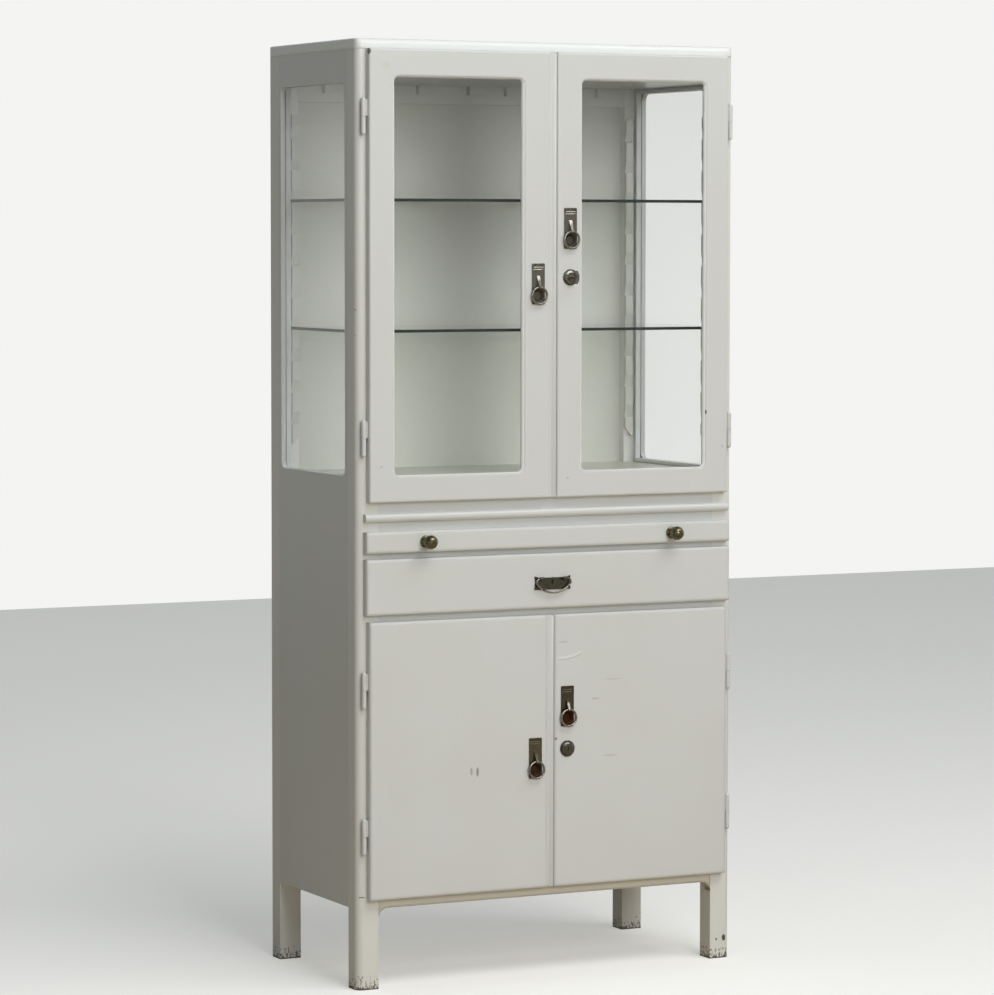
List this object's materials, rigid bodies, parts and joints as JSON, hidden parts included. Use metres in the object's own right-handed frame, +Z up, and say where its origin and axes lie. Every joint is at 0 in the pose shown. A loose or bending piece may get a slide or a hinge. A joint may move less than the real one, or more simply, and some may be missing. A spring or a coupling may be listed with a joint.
{
  "type": "medicine cabinet",
  "caption": "Free-standing painted wooden medicine cabinet with a glazed display, writing slide, drawer and lower cupboard on four square legs.",
  "frame": {"origin": "middle of the bounding box at the floor, under the feet", "axes": "+Z up, +X to the cabinet's right as seen from the front, +Y to the back"},
  "size_m": [0.767, 0.436, 1.7],
  "materials": {
    "paint": "brushed cream-white oil paint on softwood, satin",
    "bare_wood": "unpainted old pine, dull",
    "nickel": "tarnished nickel-plated brass",
    "window_glass": "clear drawn window glass",
    "shelf_glass": "clear shelf glass with a dark green edge"
  },
  "bodies": {
    "cabinet": {"post_front_left": "paint", "post_front_right": "paint", "post_back_left": "paint", "post_back_right": "paint", "side_panel_left": "paint", "side_panel_right": "paint", "back_panel": "paint", "top_board": "paint", "ceiling_board": "paint", "top_front_rail": "paint", "ceiling_batten": "paint", "middle_rail": "paint", "half_round_moulding": "paint", "upper_floor": "paint", "slide_rail": "paint", "drawer_rail": "paint", "dust_board": "bare_wood", "bottom_rail": "paint", "bottom_board": "paint", "cupboard_shelf": "paint", "side_bearers": "bare_wood", "ratchet_strips": "paint", "upper_glass_shelf": "shelf_glass", "lower_glass_shelf": "shelf_glass", "side_panes": "window_glass", "side_window_beads": "paint", "hinge_post_halves": "nickel"},
    "upper_left_door": {"upper_left_leaf": "paint", "upper_left_pane": "window_glass", "upper_left_beads": "paint", "upper_left_hinge_halves": "nickel", "upper_left_pull_plate": "nickel"},
    "upper_left_ring": {"upper_left_ring": "nickel"},
    "upper_right_door": {"upper_right_leaf": "paint", "upper_right_pane": "window_glass", "upper_right_beads": "paint", "upper_right_hinge_halves": "nickel", "upper_right_pull_plate": "nickel", "upper_right_lock_rose": "nickel"},
    "upper_right_ring": {"upper_right_ring": "nickel"},
    "upper_lock": {"upper_right_lock_plug": "nickel", "upper_key": "nickel"},
    "lower_left_door": {"lower_left_leaf": "paint", "lower_left_hinge_halves": "nickel", "lower_left_pull_plate": "nickel"},
    "lower_left_ring": {"lower_left_ring": "nickel"},
    "lower_right_door": {"lower_right_leaf": "paint", "lower_right_hinge_halves": "nickel", "lower_right_pull_plate": "nickel", "lower_right_lock_rose": "nickel"},
    "lower_right_ring": {"lower_right_ring": "nickel"},
    "lower_lock": {"lower_right_lock_plug": "nickel"},
    "drawer": {"drawer_front": "paint", "drawer_box": "bare_wood", "drawer_bottom": "bare_wood", "drawer_pull_plate": "nickel"},
    "drawer_bail": {"drawer_bail": "nickel"},
    "writing_slide": {"slide_board": "bare_wood", "slide_front": "paint", "slide_knobs": "nickel"}
  },
  "joints": [
    {"name": "upper_left_door_hinge", "type": "hinge", "parent": "cabinet", "child": "upper_left_door", "pos_m": [-0.373, -0.175, 1.27675], "axis": [0, 0, -1], "range_deg": [0, 160]},
    {"name": "upper_left_ring_swing", "type": "hinge", "parent": "upper_left_door", "child": "upper_left_ring", "pos_m": [-0.03, -0.1905, 1.2584], "axis": [-1, 0, 0], "range_deg": [0, 85]},
    {"name": "upper_right_door_hinge", "type": "hinge", "parent": "cabinet", "child": "upper_right_door", "pos_m": [0.373, -0.175, 1.27675], "axis": [0, 0, 1], "range_deg": [0, 160]},
    {"name": "upper_right_ring_swing", "type": "hinge", "parent": "upper_right_door", "child": "upper_right_ring", "pos_m": [0.0354, -0.1905, 1.3588], "axis": [-1, 0, 0], "range_deg": [0, 85]},
    {"name": "lower_left_door_hinge", "type": "hinge", "parent": "cabinet", "child": "lower_left_door", "pos_m": [-0.373, -0.175, 0.40925], "axis": [0, 0, -1], "range_deg": [0, 160]},
    {"name": "lower_left_ring_swing", "type": "hinge", "parent": "lower_left_door", "child": "lower_left_ring", "pos_m": [-0.0342, -0.1905, 0.3959], "axis": [-1, 0, 0], "range_deg": [0, 85]},
    {"name": "lower_right_door_hinge", "type": "hinge", "parent": "cabinet", "child": "lower_right_door", "pos_m": [0.373, -0.175, 0.40925], "axis": [0, 0, 1], "range_deg": [0, 160]},
    {"name": "lower_right_ring_swing", "type": "hinge", "parent": "lower_right_door", "child": "lower_right_ring", "pos_m": [0.0312, -0.1905, 0.4881], "axis": [-1, 0, 0], "range_deg": [0, 85]},
    {"name": "upper_lock_turn", "type": "hinge", "parent": "upper_right_door", "child": "upper_lock", "pos_m": [0.0354, -0.1835, 1.2762], "axis": [0, 1, 0], "range_deg": [0, 90]},
    {"name": "lower_lock_turn", "type": "hinge", "parent": "lower_right_door", "child": "lower_lock", "pos_m": [0.0312, -0.1835, 0.416], "axis": [0, 1, 0], "range_deg": [0, 90]},
    {"name": "drawer_slide", "type": "slide", "parent": "cabinet", "child": "drawer", "axis": [0, -1, 0], "range_m": [0, 0.29]},
    {"name": "bail_swing", "type": "hinge", "parent": "drawer", "child": "drawer_bail", "pos_m": [0, -0.1902, 0.729], "axis": [-1, 0, 0], "range_deg": [0, 90]},
    {"name": "writing_slide_out", "type": "slide", "parent": "cabinet", "child": "writing_slide", "axis": [0, -1, 0], "range_m": [0, 0.26]}
  ]
}
